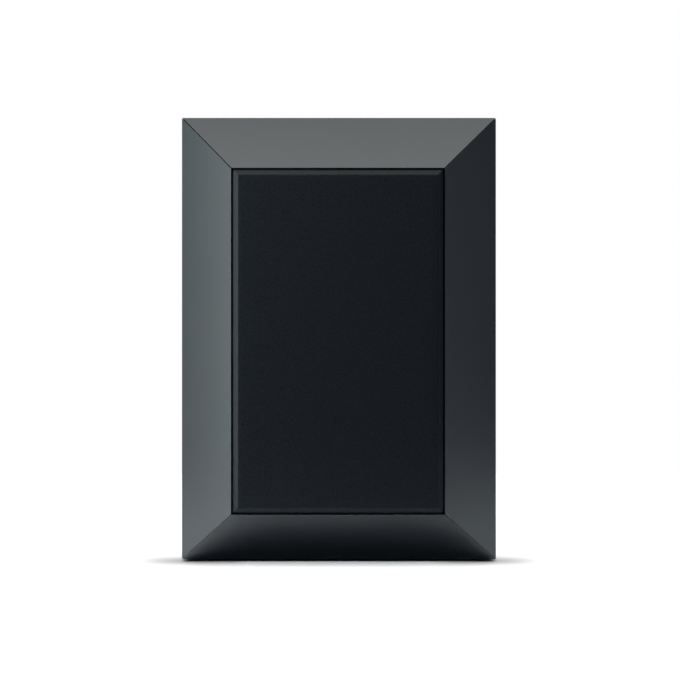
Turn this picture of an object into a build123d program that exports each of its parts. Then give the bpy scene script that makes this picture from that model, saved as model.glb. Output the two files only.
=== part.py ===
from build123d import *

import math
import os

# A two-way bookshelf loudspeaker. Its front is a picture frame of four mitred, bevelled rails, and a
# cloth grille pulls off the opening in the middle, in front of a mid-bass driver and a dome tweeter.
# Millimetres. X runs to the right as seen from the front, Y to the rear and Z up. The origin is at
# the middle of the footprint, on the surface that the feet stand on.

# Front frame
BEVEL_WIDTH = 39.0
BEVEL_DEPTH = 38.0
RAIL_EDGE = 6.0
RAIL_LAND = 0.3
MITRE_EASE = 0.25
MITRE_GAP = 0.25
BAFFLE_RECESS = 10.0
BAFFLE_THICKNESS = 18.0
BAFFLE_REBATE = 4.0

# Drivers on the baffle, and the grille round them
WOOFER_DIAMETER = 120.0
TWEETER_DIAMETER = 80.0
DRIVER_GAP = 8.0
SIDE_MARGIN = 3.4
END_MARGIN = 4.9
GRILLE_RAIL = 9.0
GRILLE_BAR = 6.0
GRILLE_GAP = 0.6
GRILLE_PROUD = 3.0
GRILLE_CHAMFER = 4.0
GRILLE_SEAT = 0.2
WINDOW_RADIUS = 6.0
CLOTH = 0.6
CLOTH_RETURN = 6.0
MAGNET_DISC_DIAMETER = 6.0
MAGNET_DISC_HEIGHT = 3.0

# Carcass
CARCASS_DEPTH = 150.0
PANEL_THICKNESS = 15.0
REAR_THICKNESS = 15.0
BRACE_HEIGHT = 20.0
BRACE_DEPTH = 40.0
FOOT_DIAMETER = 16.0
FOOT_HEIGHT = 2.0
FOOT_INSET = 20.0
FOOT_EDGE = 0.5
PAD_THICKNESS = 12.0
PAD_MARGIN = 8.0
INSERT_SPACING = 60.0
INSERT_DROP = 20.0
INSERT_BORE = 6.0
INSERT_DIAMETER = 9.0
INSERT_LENGTH = 12.0

# Mid-bass driver
FLANGE_RING = 8.5
FLANGE_THICKNESS = 4.0
GASKET = 1.0
SURROUND_LIP = 4.0
SURROUND_ROLL = 10.0
SURROUND_SKIN = 0.8
SURROUND_STEP = 2.0
CONE_DEPTH = 17.0
CONE_PAPER = 1.0
CONE_CURVE = 1.6
CAP_OVERHANG = 3.0
CAP_RISE = 6.5
COIL_DIAMETER = 25.4
FORMER_WALL = 0.3
WINDING_BUILD = 0.9
WINDING_OVERHANG = 3.0
MOTOR_GAP = 0.6
WOOFER_TRAVEL = 5.0
BASKET_WALL = 3.0
BASKET_SPOKES = 6
SPOKE_WIDTH = 11.0
SPIDER_DIAMETER = 68.0
SPIDER_LIP = 5.0
SPIDER_DROP = 8.0
SPIDER_CLOTH = 0.5
SPIDER_WAVES = 4
SPIDER_WAVE_HEIGHT = 1.4
FRONT_PLATE_DIAMETER = 62.0
FRONT_PLATE_THICKNESS = 6.0
WOOFER_MAGNET_DIAMETER = 76.0
WOOFER_MAGNET_HEIGHT = 15.0
WOOFER_MAGNET_WIDTH = 19.0
YOKE_DIAMETER = 70.0
YOKE_THICKNESS = 6.0
YOKE_EASE = 1.5
POLE_VENT = 8.0
WOOFER_SCREWS = 6
WOOFER_SCREW_TURN = 30.0
STRIP_WIDTH = 16.0
STRIP_HEIGHT = 10.0
STRIP_THICKNESS = 5.0
TAG_LENGTH = 6.0
TAG_WIDTH = 3.0
TAG_THICKNESS = 0.8
TAG_SPACING = 8.0
TINSEL_DIAMETER = 1.2
TINSEL_BEND = 1.8
TINSEL_LANDING = 6.0
TINSEL_GLUE = 1.1

# Tweeter
TWEETER_PLATE = 3.5
HORN_DEPTH = 5.0
HORN_MIDDLE_DEPTH = 1.5
HORN_RIM = 7.0
DOME_DIAMETER = 25.0
DOME_RISE = 4.5
DOME_SKIN = 0.3
DOME_ROLL = 3.8
DOME_LIP = 4.4
LIP_SKIN = 0.5
DOME_COIL_WALL = 0.6
DOME_COIL_HEIGHT = 5.5
DOME_GAP = 0.5
TWEETER_MOTOR_DIAMETER = 58.0
TWEETER_FRONT_PLATE = 4.0
TWEETER_MAGNET_HEIGHT = 10.0
TWEETER_MAGNET_WIDTH = 12.0
TWEETER_YOKE = 4.0
TWEETER_VENT = 8.0
TWEETER_PLATE_STEP = 1.0
CHAMBER_DIAMETER = 44.0
CHAMBER_DEPTH = 14.0
CHAMBER_WALL = 2.0
TWEETER_SCREWS = 4
TWEETER_SCREW_TURN = 45.0

# Screws
SCREW_DIAMETER = 3.8
SCREW_LENGTH = 14.0
SCREW_HEAD_DIAMETER = 5.2
SCREW_HEAD_HEIGHT = 2.2
SCREW_SOCKET = 2.4
SCREW_SOCKET_DEPTH = 1.3

# Terminals
CUP_WIDTH = 92.0
CUP_HEIGHT = 66.0
CUP_RIM = 11.0
CUP_FLANGE = 3.0
CUP_WALL = 2.5
CUP_DEPTH = 28.0
CUP_FLOOR = 3.0
CUP_CORNER = 6.0
CUP_DROP = 26.0
POST_SPACING = 30.0
POST_DIAMETER = 7.0
POST_COLLAR_DIAMETER = 12.0
POST_COLLAR_HEIGHT = 3.0
POST_SHANK_DIAMETER = 6.0
POST_SHANK_LENGTH = 14.0
POST_EASE = 0.5
BANANA_BORE = 4.0
BANANA_DEPTH = 18.0
CLAMP_WASHER_DIAMETER = 14.0
CLAMP_WASHER_THICKNESS = 1.2
KNOB_WIDTH = 16.0
KNOB_CORNER = 2.5
KNOB_LENGTH = 20.0
KNOB_CAP = 1.8
KNOB_EASE = 1.0
KNOB_END_PLAY = 0.4
PLUG_CLEARANCE = 0.3
NUT_WIDTH = 10.0
NUT_HEIGHT = 5.0
SOLDER_TAG_DIAMETER = 11.0
SOLDER_TAG_LENGTH = 12.0

# Reflex port
PORT_BORE = 40.0
PORT_LENGTH = 95.0
PORT_WALL = 2.0
PORT_FLARE = 10.0
PORT_LIP = 5.0
PORT_FLANGE = 4.0
PORT_BOSS_WALL = 3.0

# Crossover
BOARD_WIDTH = 110.0
BOARD_DEPTH = 84.0
BOARD_THICKNESS = 1.6
BOARD_SETBACK = 10.0
STANDOFF_HEIGHT = 6.0
STANDOFF_DIAMETER = 7.0
STANDOFF_INSET = 6.0
BOARD_SCREW_DIAMETER = 3.0
BOARD_SCREW_LENGTH = 16.0
BOARD_SCREW_HEAD = 5.6
BOARD_SCREW_HEAD_HEIGHT = 2.0
BOBBIN_DIAMETER = 34.0
BOBBIN_HEIGHT = 22.0
BOBBIN_FLANGE = 2.0
BOBBIN_CORE = 14.0
BOBBIN_HOLE = 7.0
WINDING_INSET = 1.5
CAPACITOR_DIAMETER = 14.0
CAPACITOR_LENGTH = 28.0
RESISTOR_LENGTH = 22.0
RESISTOR_SIDE = 9.0
COMPONENT_GAP = 1.5
LEAD_DIAMETER = 2.4
LEAD_BEND = 20.0

# Clearances
FIT = 0.15
RUNNING = 0.08
TOUCH = 0.05

# The front, from the drivers outwards
window_width = WOOFER_DIAMETER + 2 * SIDE_MARGIN
window_height = WOOFER_DIAMETER + DRIVER_GAP + TWEETER_DIAMETER + 2 * END_MARGIN
grille_width = window_width + 2 * GRILLE_RAIL
grille_height = window_height + 2 * GRILLE_RAIL
opening_width = grille_width + 2 * GRILLE_GAP
opening_height = grille_height + 2 * GRILLE_GAP
cabinet_width = opening_width + 2 * BEVEL_WIDTH
cabinet_height = opening_height + 2 * BEVEL_WIDTH
rail_depth = RAIL_EDGE + BEVEL_DEPTH

# Heights
cabinet_bottom = FOOT_HEIGHT
cabinet_top = cabinet_bottom + cabinet_height
middle_z = (cabinet_bottom + cabinet_top) / 2
woofer_z = middle_z - window_height / 2 + END_MARGIN + WOOFER_DIAMETER / 2
tweeter_z = middle_z + window_height / 2 - END_MARGIN - TWEETER_DIAMETER / 2
gap_z = woofer_z + WOOFER_DIAMETER / 2 + DRIVER_GAP / 2
floor_z = cabinet_bottom + PANEL_THICKNESS
ceiling_z = cabinet_top - PANEL_THICKNESS
inner_half_width = cabinet_width / 2 - PANEL_THICKNESS

# Depths
total_depth = GRILLE_PROUD + rail_depth + CARCASS_DEPTH
grille_front_y = -total_depth / 2
land_y = grille_front_y + GRILLE_PROUD
baffle_y = land_y + BAFFLE_RECESS
carcass_y = land_y + rail_depth
rear_y = total_depth / 2
rear_inner_y = rear_y - REAR_THICKNESS
grille_back_y = baffle_y - GRILLE_SEAT

# Mid-bass driver radii, and depths behind the baffle's front
flange_radius = WOOFER_DIAMETER / 2
ledge_radius = flange_radius - FLANGE_RING
roll_outer = ledge_radius - SURROUND_LIP
roll_inner = roll_outer - SURROUND_ROLL
basket_inner = roll_outer - SURROUND_SKIN
basket_outer = basket_inner + BASKET_WALL
spider_radius = SPIDER_DIAMETER / 2
can_inner = spider_radius - SPIDER_LIP
can_outer = can_inner + BASKET_WALL
former_outer = COIL_DIAMETER / 2
former_inner = former_outer - FORMER_WALL
winding_outer = former_outer + WINDING_BUILD
plate_bore = winding_outer + MOTOR_GAP
pole_radius = former_inner - MOTOR_GAP
cone_edge_t = SURROUND_STEP
cone_neck_t = cone_edge_t + CONE_DEPTH
spider_t = cone_neck_t + SPIDER_DROP
basket_base_t = spider_t + SPIDER_CLOTH + SPIDER_WAVE_HEIGHT + 2 * WOOFER_TRAVEL
front_plate_t = basket_base_t + BASKET_WALL
woofer_magnet_t = front_plate_t + FRONT_PLATE_THICKNESS
yoke_t = woofer_magnet_t + WOOFER_MAGNET_HEIGHT
woofer_screw_radius = (flange_radius + ledge_radius) / 2
woofer_recess = FLANGE_THICKNESS + GASKET
strip_t = spider_t - SPIDER_WAVE_HEIGHT + STRIP_HEIGHT / 2
woofer_tag_x = spider_radius + BASKET_WALL + STRIP_THICKNESS - TAG_THICKNESS / 2
woofer_tag_t = strip_t + STRIP_HEIGHT / 2

# Tweeter radii, and depths behind the baffle's front
dome_radius = DOME_DIAMETER / 2
throat_radius = dome_radius + DOME_ROLL + GASKET / 2
lip_radius = dome_radius + DOME_ROLL + DOME_LIP
tweeter_radius = TWEETER_DIAMETER / 2
motor_radius = TWEETER_MOTOR_DIAMETER / 2
horn_radius = tweeter_radius - HORN_RIM
tweeter_screw_radius = tweeter_radius - HORN_RIM / 2
lip_t = HORN_DEPTH + DOME_SKIN
tweeter_plate_t = lip_t + LIP_SKIN + 2 * TOUCH
tweeter_magnet_t = tweeter_plate_t + TWEETER_FRONT_PLATE
tweeter_yoke_t = tweeter_magnet_t + TWEETER_MAGNET_HEIGHT
chamber_t = tweeter_yoke_t + TWEETER_YOKE
tweeter_plate_radius = motor_radius - TWEETER_PLATE_STEP
tweeter_tag_x = -(CHAMBER_DIAMETER / 2 + tweeter_plate_radius) / 2
tweeter_recess = TWEETER_PLATE + GASKET

# Rear fittings
port_z = tweeter_z
insert_z = ceiling_z - INSERT_DROP
cup_z = woofer_z - CUP_DROP
cup_floor_y = rear_y - CUP_DEPTH
post_length = CLAMP_WASHER_THICKNESS + KNOB_LENGTH - KNOB_CAP - KNOB_END_PLAY
well_width = CUP_WIDTH - 2 * CUP_RIM
well_height = CUP_HEIGHT - 2 * CUP_RIM
board_bottom = floor_z + STANDOFF_HEIGHT
board_top = board_bottom + BOARD_THICKNESS
board_y = rear_inner_y - BOARD_SETBACK - BOARD_DEPTH / 2


def block(x, y, z):
    """A box from its (low, high) spans along X, Y and Z."""
    spans = (x, y, z)
    middle = [(low + high) / 2 for low, high in spans]
    size = [high - low for low, high in spans]
    return Pos(*middle) * Box(*size)


def span(middle, size):
    """The (low, high) pair of a size set evenly about a middle."""
    return middle - size / 2, middle + size / 2


def turned(*lines):
    """Solid of revolution about Y, from a closed outline of radius (X) and depth (Y)."""
    return revolve(make_face(list(lines)), Axis.Y)


def lathe(*points):
    """Solid of revolution about Y, from the corners of its outline as (radius, depth)."""
    return turned(*Polyline(*points, close=True).edges())


def ring(inner, outer, near, far):
    """A plain ring or disc about Y."""
    return lathe((inner, near), (outer, near), (outer, far), (inner, far))


def slab(sketch, near, far):
    """A sketch of (X, Z) made solid from depth near to depth far."""
    return Pos(0, far, 0) * extrude(Plane.XZ * sketch, far - near)


def around(shape, count, radius, start=0.0):
    """Copies of a shape made at the Y axis, set evenly on a circle about it."""
    copies = []
    for i in range(count):
        angle = math.radians(start + 360 * i / count)
        copies.append(Pos(radius * math.cos(angle), 0, radius * math.sin(angle)) * shape)
    return copies


def on_woofer(shape):
    return Pos(0, baffle_y, woofer_z) * shape


def on_tweeter(shape):
    return Pos(0, baffle_y, tweeter_z) * shape


def woofer_screw_circle(shape):
    return around(shape, WOOFER_SCREWS, woofer_screw_radius, WOOFER_SCREW_TURN)


def tweeter_screw_circle(shape):
    return around(shape, TWEETER_SCREWS, tweeter_screw_radius, TWEETER_SCREW_TURN)


def mitred(profile, length, reach, depth):
    """A bar along X under Z = 0, of a (depth, height) profile, with its ends cut at 45 degrees."""
    half = length / 2
    bar = extrude(Plane.YZ * profile, half, both=True)
    corners = [(-half, 0), (half, 0), (half - reach, -reach), (reach - half, -reach)]
    front_view = slab(make_face(Polyline(*corners, close=True)), -depth, depth)
    return bar & front_view


def four_sides(make):
    """One mitred bar for each side of the cabinet, made by make(length) and turned to its place."""
    places = {
        "top": (0, cabinet_width, Pos(0, 0, cabinet_top)),
        "right": (90, cabinet_height, Pos(cabinet_width / 2, 0, middle_z)),
        "bottom": (180, cabinet_width, Pos(0, 0, cabinet_bottom)),
        "left": (270, cabinet_height, Pos(-cabinet_width / 2, 0, middle_z)),
    }
    return {side: place * Rot(0, turn, 0) * make(length) for side, (turn, length, place) in places.items()}


def front_rail(length):
    """Rail of the front frame: square edge, wide bevel, narrow land, and a rebate for the baffle behind.

    A hairline joint is left open between neighbours.
    """
    back = carcass_y
    shoulder = back - RAIL_EDGE
    outline = Polyline(
        (back, 0),
        (shoulder, 0),
        (land_y, RAIL_LAND - BEVEL_WIDTH),
        (land_y, -BEVEL_WIDTH),
        (baffle_y, -BEVEL_WIDTH),
        (baffle_y, BAFFLE_REBATE - BEVEL_WIDTH),
        (back, BAFFLE_REBATE - BEVEL_WIDTH),
        close=True,
    )
    rail = mitred(make_face(outline), length - math.sqrt(2) * MITRE_GAP, BEVEL_WIDTH, total_depth)
    sloped = rail.faces().filter_by(lambda f: f.normal_at().Y < -0.1 and f.normal_at().Z > 0.1)
    mitre_edges = sloped.sort_by(SortBy.AREA)[-1].edges().filter_by(Axis.X, reverse=True)
    return chamfer(mitre_edges, MITRE_EASE)


def carcass_panel(length):
    """Side of the box, mitred at both ends and square at the front and rear."""
    inside = -PANEL_THICKNESS
    outline = Polyline((carcass_y, 0), (rear_y, 0), (rear_y, inside), (carcass_y, inside), close=True)
    return mitred(make_face(outline), length, PANEL_THICKNESS, total_depth)


def magnet_places():
    """Centres of the grille's magnets, (X, Z), in the corners of the grille's rails."""
    x = (window_width + GRILLE_RAIL) / 2
    z = (window_height + GRILLE_RAIL) / 2
    return [(sx * x, middle_z + sz * z) for sx in (-1, 1) for sz in (-1, 1)]


def discs(radius, near, far):
    return [Pos(x, 0, z) * ring(0, radius, near, far) for x, z in magnet_places()]


def baffle_board():
    """Board let into the rails, routed for both drivers and the grille's magnets."""
    board = block(
        span(0, opening_width + 2 * BAFFLE_REBATE),
        (baffle_y, baffle_y + BAFFLE_THICKNESS),
        span(middle_z, opening_height + 2 * BAFFLE_REBATE),
    )
    through = BAFFLE_THICKNESS
    board -= on_woofer(ring(0, flange_radius + FIT, 0, woofer_recess))
    board -= on_woofer(ring(0, basket_outer + FIT, 0, through))
    board -= on_tweeter(ring(0, tweeter_radius + FIT, 0, tweeter_recess))
    board -= on_tweeter(ring(0, motor_radius + 2 * FIT, 0, through))
    pilot = ring(0, SCREW_DIAMETER / 2 + TOUCH, 0, through)
    board -= [on_woofer(hole) for hole in woofer_screw_circle(pilot)]
    board -= [on_tweeter(hole) for hole in tweeter_screw_circle(pilot)]
    board -= discs(MAGNET_DISC_DIAMETER / 2 + FIT, baffle_y, baffle_y + MAGNET_DISC_HEIGHT + FIT)
    return board


def grille_block(inset, chamfer_size):
    """Chamfered block of the grille's outer form, taken in by an inset on every side."""
    body = block(
        span(0, grille_width - 2 * inset),
        (grille_front_y + inset, grille_back_y - inset),
        span(middle_z, grille_height - 2 * inset),
    )
    return chamfer(body.faces().sort_by(Axis.Y)[0].edges(), chamfer_size)


def grille_core():
    """What the cloth is wrapped round, with a chamfer that leaves one cloth's thickness over it."""
    return grille_block(CLOTH, GRILLE_CHAMFER - CLOTH * (2 - math.sqrt(2)))


def grille_frame():
    """Moulded frame with one window for each driver and a bar between them."""
    windows = []
    low, high = middle_z - window_height / 2, middle_z + window_height / 2
    for z in ((low, gap_z - GRILLE_BAR / 2), (gap_z + GRILLE_BAR / 2, high)):
        window = block(span(0, window_width), (grille_front_y, grille_back_y), z)
        windows.append(fillet(window.edges().filter_by(Axis.Y), WINDOW_RADIUS))
    back = grille_back_y - CLOTH
    pockets = discs(MAGNET_DISC_DIAMETER / 2 + FIT, back - MAGNET_DISC_HEIGHT - FIT, back)
    return grille_core() - windows - pockets


def grille_cloth():
    """Cloth over the front and sides of the frame, turned in behind it."""
    opening = block(
        span(0, grille_width - 2 * CLOTH_RETURN),
        (grille_back_y - CLOTH, grille_back_y),
        span(middle_z, grille_height - 2 * CLOTH_RETURN),
    )
    return grille_block(0, GRILLE_CHAMFER) - grille_core() - opening


def grille_magnets():
    back = grille_back_y - CLOTH
    return discs(MAGNET_DISC_DIAMETER / 2, back - MAGNET_DISC_HEIGHT, back)


def baffle_magnets():
    return discs(MAGNET_DISC_DIAMETER / 2, baffle_y, baffle_y + MAGNET_DISC_HEIGHT)


def rounded(width, height, corner):
    return RectangleRounded(width, height, corner)


def cup_screw_places():
    x = (CUP_WIDTH - CUP_RIM) / 2
    z = (CUP_HEIGHT - CUP_RIM) / 2
    return [(sx * x, cup_z + sz * z) for sx in (-1, 1) for sz in (-1, 1)]


def post_places():
    return {"red": POST_SPACING / 2, "black": -POST_SPACING / 2}


def rear_panel():
    """Back of the box, routed for the port, the terminal cup and the bracket inserts."""
    panel = block(
        (-inner_half_width, inner_half_width), (rear_inner_y, rear_y), (floor_z, ceiling_z)
    )
    panel -= Pos(0, 0, port_z) * ring(0, port_boss() + FIT, rear_inner_y, rear_y)
    panel -= Pos(0, 0, port_z) * ring(0, port_rim() + FIT, rear_y - PORT_FLANGE, rear_y)
    cup = Pos(0, 0, cup_z)
    seat = rounded(CUP_WIDTH + 2 * FIT, CUP_HEIGHT + 2 * FIT, CUP_CORNER)
    hole = rounded(well_width + 2 * (CUP_WALL + FIT), well_height + 2 * (CUP_WALL + FIT), CUP_CORNER)
    panel -= cup * slab(seat, rear_y - CUP_FLANGE, rear_y)
    panel -= cup * slab(hole, rear_inner_y, rear_y)
    for x in span(0, INSERT_SPACING):
        panel -= Pos(x, rear_y, insert_z) * ring(0, INSERT_DIAMETER / 2 + TOUCH, -INSERT_LENGTH, 0)
    for x, z in cup_screw_places():
        panel -= Pos(x, 0, z) * ring(0, SCREW_DIAMETER / 2 + TOUCH, rear_inner_y, rear_y)
    return panel


def rear_inserts():
    """Threaded brass inserts for a wall bracket, shown at the thread's outer diameter."""
    insert = ring(INSERT_BORE / 2, INSERT_DIAMETER / 2, -INSERT_LENGTH, 0)
    return [Pos(x, rear_y, insert_z) * insert for x in span(0, INSERT_SPACING)]


def cross_brace():
    """Batten between the side panels, in the free height between the two drivers."""
    middle_y = (carcass_y + rear_inner_y) / 2
    return block(
        (-inner_half_width, inner_half_width), span(middle_y, BRACE_DEPTH), span(gap_z, BRACE_HEIGHT)
    )


def rubber_feet():
    """Four round feet under the bottom panel, with an eased lower edge."""
    foot = Cylinder(FOOT_DIAMETER / 2, FOOT_HEIGHT)
    foot = chamfer(foot.edges().group_by(Axis.Z)[0], FOOT_EDGE)
    x = cabinet_width / 2 - FOOT_INSET
    places = [(sx * x, y) for sx in (-1, 1) for y in (carcass_y + FOOT_INSET, rear_y - FOOT_INSET)]
    return [Pos(px, py, FOOT_HEIGHT / 2) * foot for px, py in places]


def damping_pads():
    """Foam linings on both side panels, below the brace."""
    depth = (carcass_y + PAD_MARGIN, rear_inner_y - PAD_MARGIN)
    height = (floor_z + PAD_MARGIN, gap_z - BRACE_HEIGHT / 2 - PAD_MARGIN)
    inner = inner_half_width
    return {
        "damping_pad_left": block((-inner, PAD_THICKNESS - inner), depth, height),
        "damping_pad_right": block((inner - PAD_THICKNESS, inner), depth, height),
    }


def woofer_basket():
    """Cast basket: screw flange, ledge for the surround, spoked wall, spider ledge and motor seat."""
    wall_t = FLANGE_THICKNESS + 2 * WOOFER_TRAVEL
    ledge_t = spider_t + SPIDER_CLOTH
    shelf_t = ledge_t + BASKET_WALL
    rim = spider_radius + BASKET_WALL
    body = lathe(
        (flange_radius, 0),
        (ledge_radius, 0),
        (ledge_radius, SURROUND_STEP),
        (basket_inner, SURROUND_STEP),
        (basket_inner, wall_t),
        (spider_radius + FIT, spider_t - SPIDER_WAVE_HEIGHT),
        (spider_radius + FIT, ledge_t),
        (can_inner, ledge_t),
        (can_inner, basket_base_t),
        (plate_bore + MOTOR_GAP, basket_base_t),
        (plate_bore + MOTOR_GAP, front_plate_t),
        (can_outer, front_plate_t),
        (can_outer, shelf_t),
        (rim, shelf_t),
        (rim, spider_t - SPIDER_WAVE_HEIGHT),
        (basket_outer, wall_t),
        (basket_outer, FLANGE_THICKNESS),
        (flange_radius, FLANGE_THICKNESS),
    )
    low, high = FLANGE_THICKNESS + BASKET_WALL, spider_t - SPIDER_WAVE_HEIGHT - SPIDER_CLOTH
    half_angle = math.pi / BASKET_SPOKES
    apex = SPOKE_WIDTH / 2 / math.sin(half_angle)
    side = (flange_radius - apex) * math.tan(half_angle)
    wedge = Polyline((apex, 0), (flange_radius, side), (flange_radius, -side), close=True)
    window = slab(make_face(wedge), low, high)
    body -= [Rot(0, 360 * i / BASKET_SPOKES, 0) * window for i in range(BASKET_SPOKES)]
    hole = ring(0, SCREW_DIAMETER / 2 + FIT, 0, FLANGE_THICKNESS)
    sink = ring(0, SCREW_HEAD_DIAMETER / 2 + FIT, 0, SCREW_HEAD_HEIGHT)
    body -= woofer_screw_circle(hole)
    body -= woofer_screw_circle(sink)
    return body


def woofer_surround():
    """Half-roll rubber surround with a flat lip on each side."""
    back = SURROUND_STEP
    front = back - SURROUND_SKIN
    middle = (roll_inner + roll_outer) / 2
    outer = SURROUND_ROLL / 2 + SURROUND_SKIN / 2
    inner = SURROUND_ROLL / 2 - SURROUND_SKIN / 2
    lip_out = ledge_radius - FIT
    lip_in = roll_inner - SURROUND_LIP
    return turned(
        Line((lip_in, front), (middle - outer, front)),
        ThreePointArc((middle - outer, front), (middle, front - outer), (middle + outer, front)),
        Line((middle + outer, front), (lip_out, front)),
        Line((lip_out, front), (lip_out, back)),
        Line((lip_out, back), (middle + inner, back)),
        Line((middle + inner, back), (middle + inner, front)),
        ThreePointArc((middle + inner, front), (middle, front - inner), (middle - inner, front)),
        Line((middle - inner, front), (middle - inner, back)),
        Line((middle - inner, back), (lip_in, back)),
        Line((lip_in, back), (lip_in, front)),
    )


def cone_front(radius):
    """Depth of the cone's front at a radius, on the straight line from edge to neck."""
    edge = roll_inner - SURROUND_LIP
    share = (edge - radius) / (edge - former_outer)
    return cone_edge_t + share * CONE_DEPTH


def woofer_cone():
    """Curved paper cone with a flat glue edge under the surround."""
    edge = roll_inner - SURROUND_LIP
    neck = former_outer + TOUCH
    rim = roll_inner
    front = cone_edge_t + TOUCH
    back = front + CONE_PAPER
    mid_r = (edge + neck) / 2
    mid_t = (front + cone_neck_t) / 2
    bulge = CONE_CURVE / math.sqrt(2)
    behind = bulge + CONE_PAPER / math.sqrt(2)
    neck_end = cone_neck_t + CONE_PAPER * math.sqrt(2)
    return turned(
        Line((rim, front), (edge, front)),
        ThreePointArc((edge, front), (mid_r + bulge, mid_t + bulge), (neck, cone_neck_t)),
        Line((neck, cone_neck_t), (neck, neck_end)),
        ThreePointArc((neck, neck_end), (mid_r + behind, mid_t + behind), (edge + CONE_PAPER, back)),
        Line((edge + CONE_PAPER, back), (rim, back)),
        Line((rim, back), (rim, front)),
    )


def dome_shell(radius, rise, skin, base_t):
    """Spherical cap of even thickness, crowned towards the front, with its rim at a depth."""
    sphere = (radius**2 + rise**2) / (2 * rise)
    centre = base_t - rise + sphere
    inner = sphere - skin
    inner_radius = math.sqrt(inner**2 - (centre - base_t) ** 2)

    def arc(size, rim):
        half = math.asin(rim / size) / 2
        middle = (size * math.sin(half), centre - size * math.cos(half))
        return ThreePointArc((0, centre - size), middle, (rim, base_t))

    return turned(
        arc(sphere, radius),
        Line((radius, base_t), (inner_radius, base_t)),
        arc(inner, inner_radius),
        Line((0, centre - inner), (0, centre - sphere)),
    )


def woofer_dust_cap():
    radius = former_outer + CAP_OVERHANG
    seat = cone_front(radius) - TOUCH
    return dome_shell(radius, CAP_RISE, CONE_PAPER, seat)


def woofer_spider():
    """Corrugated cloth disc that centres the coil, waved between its glued inner and outer lips."""
    start = former_outer + TOUCH
    inner = start + SPIDER_LIP / 2
    outer = spider_radius - SPIDER_LIP
    step = (outer - inner) / (2 * SPIDER_WAVES)

    def wave(depth):
        lines = [Line((start, depth), (inner, depth))]
        for i in range(2 * SPIDER_WAVES):
            near, far = inner + i * step, inner + (i + 1) * step
            crest = depth + SPIDER_WAVE_HEIGHT * (-1) ** i / 2
            lines.append(ThreePointArc((near, depth), ((near + far) / 2, crest), (far, depth)))
        lines.append(Line((outer, depth), (spider_radius, depth)))
        return lines

    front, back = spider_t, spider_t + SPIDER_CLOTH
    ends = [
        Line((start, front), (start, back)),
        Line((spider_radius, front), (spider_radius, back)),
    ]
    return turned(*wave(front), *wave(back), *ends)


def winding_span():
    return (
        front_plate_t - WINDING_OVERHANG,
        front_plate_t + FRONT_PLATE_THICKNESS + WINDING_OVERHANG,
    )


def voice_coil_former():
    return ring(former_inner, former_outer, cone_neck_t - CONE_PAPER, winding_span()[1])


def voice_coil_winding():
    return ring(former_outer + TOUCH / 2, winding_outer, *winding_span())


def woofer_front_plate():
    return ring(plate_bore, FRONT_PLATE_DIAMETER / 2, front_plate_t, woofer_magnet_t)


def woofer_magnet():
    outer = WOOFER_MAGNET_DIAMETER / 2
    return ring(outer - WOOFER_MAGNET_WIDTH, outer, woofer_magnet_t, yoke_t)


def woofer_yoke():
    """Back plate and pole in one, vented through the middle, with an eased rear edge."""
    vent = POLE_VENT / 2
    edge = YOKE_DIAMETER / 2
    far = yoke_t + YOKE_THICKNESS
    return lathe(
        (vent, front_plate_t),
        (pole_radius, front_plate_t),
        (pole_radius, yoke_t),
        (edge, yoke_t),
        (edge, far - YOKE_EASE),
        (edge - YOKE_EASE, far),
        (vent, far),
    )


def woofer_strip():
    """Fibre strip on the outside of the basket's spider ledge, which carries the solder tags."""
    rim = spider_radius + BASKET_WALL
    plate = block((can_outer, rim + STRIP_THICKNESS), span(strip_t, STRIP_HEIGHT), span(0, STRIP_WIDTH))
    disc = ring(0, rim + TOUCH, strip_t - STRIP_HEIGHT, strip_t + STRIP_HEIGHT)
    return plate - disc


def tube(points, diameter, radii):
    """Round wire along straight runs joined by arcs. Prints its length for comparison with its volume."""
    path = FilletPolyline(*points, radius=radii) if len(points) > 2 else Line(*points)
    start = Plane(origin=path @ 0, z_dir=path % 0)
    wire = sweep(start * Circle(diameter / 2), path=path)
    expected = math.pi * diameter**2 / 4 * path.length
    print(f"wire of {path.length:.1f} mm, radii {radii}, volume {wire.volume:.1f} of {expected:.1f} mm3")
    return wire


def tinsel_leads():
    """Slack braids from the strip, through a basket window, to the back of the cone."""
    rim = spider_radius + BASKET_WALL + STRIP_THICKNESS / 2
    land_r = former_outer + TINSEL_LANDING
    land_t = cone_front(land_r) + CONE_CURVE + CONE_PAPER * math.sqrt(2) + TINSEL_GLUE
    start_t = strip_t - STRIP_HEIGHT / 2 - TOUCH
    sag_t = (land_t + start_t) / 2 - TINSEL_DIAMETER
    leads = []
    for z in span(0, TAG_SPACING):
        points = [
            (rim, start_t, z),
            (rim, sag_t, z),
            ((rim + land_r) / 2, sag_t, z),
            (land_r, land_t + 2 * TINSEL_DIAMETER, z),
            (land_r, land_t, z),
        ]
        leads.append(tube(points, TINSEL_DIAMETER, [TINSEL_BEND] * 3))
    return leads


def machine_screw(length):
    """Flush socket screw along Y with its head's face at depth 0."""
    head = ring(0, SCREW_HEAD_DIAMETER / 2, 0, SCREW_HEAD_HEIGHT)
    shank = ring(0, SCREW_DIAMETER / 2, SCREW_HEAD_HEIGHT, length)
    socket = slab(RegularPolygon(SCREW_SOCKET / 2, 6), 0, SCREW_SOCKET_DEPTH)
    return head + shank - socket


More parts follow.
